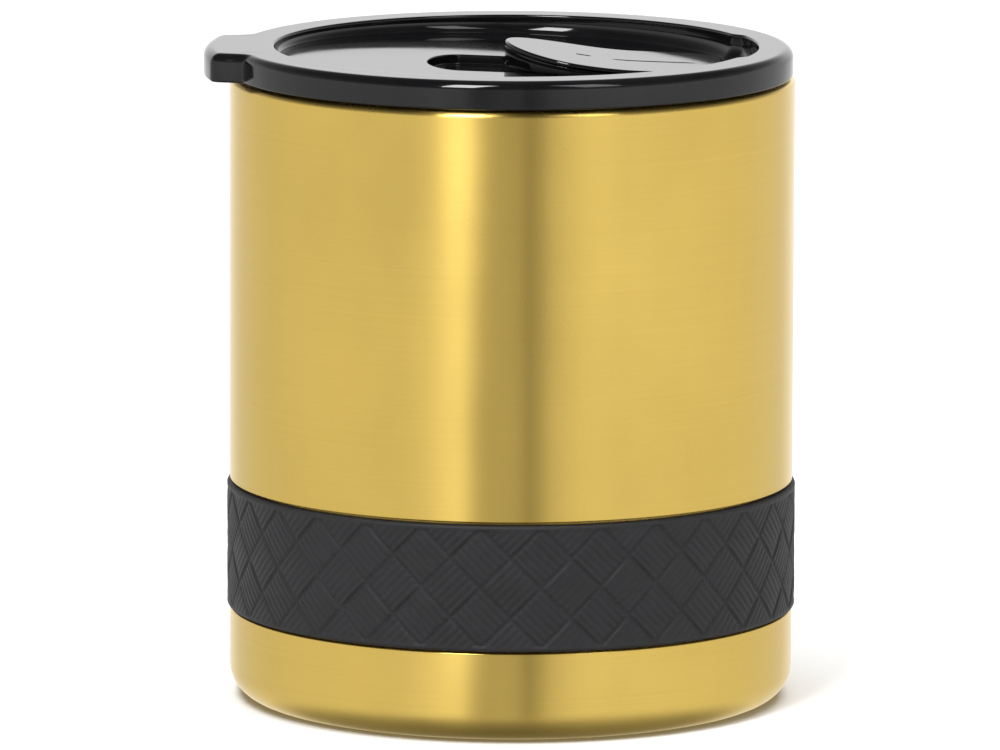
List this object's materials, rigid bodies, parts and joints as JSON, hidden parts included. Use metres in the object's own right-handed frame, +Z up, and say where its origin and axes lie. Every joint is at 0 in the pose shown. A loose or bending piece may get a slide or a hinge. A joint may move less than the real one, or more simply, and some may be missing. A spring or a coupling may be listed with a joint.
{
  "type": "insulated tumbler",
  "caption": "Double-wall vacuum drinks tumbler with a textured grip band and a press-in lid that has a thumb tab and a sliding closure.",
  "frame": {"origin": "centre of the flat underside, on the cup's axis", "axes": "+Z up along the cup's axis; the lid's thumb tab points along -X and the drinking side faces +X"},
  "size_m": [0.0936, 0.09, 0.1044],
  "materials": {
    "gold_steel": "fine brushed, brass coloured",
    "bare_steel": "satin",
    "black_plastic": "high gloss",
    "black_silicone": "matte",
    "nickel_magnet": "bright nickel plate",
    "sealing_glass": "glassy",
    "getter_alloy": "sintered, dull"
  },
  "bodies": {
    "cup": {"outer_shell": "gold_steel", "inner_liner": "bare_steel", "base_cup": "bare_steel", "base_cover": "bare_steel", "seal_bead": "sealing_glass", "getter": "getter_alloy", "getter_clip": "bare_steel", "grip_band": "black_silicone"},
    "lid": {"lid_top": "black_plastic", "lid_underplate": "black_plastic", "lid_gasket": "black_silicone", "deck_magnet_closed_front": "nickel_magnet", "deck_magnet_closed_back": "nickel_magnet", "deck_magnet_open_front": "nickel_magnet", "deck_magnet_open_back": "nickel_magnet"},
    "slider": {"slider_cap": "black_plastic", "slider_body": "black_plastic", "slider_magnet_front": "nickel_magnet", "slider_magnet_back": "nickel_magnet"}
  },
  "joints": [
    {"name": "lid_lift", "type": "slide", "parent": "cup", "child": "lid", "axis": [0, 0, 1], "range_m": [0, 0.06]},
    {"name": "slider_slide", "type": "slide", "parent": "lid", "child": "slider", "axis": [0.9994, 0, -0.0349], "range_m": [-0.0125, 0]}
  ]
}
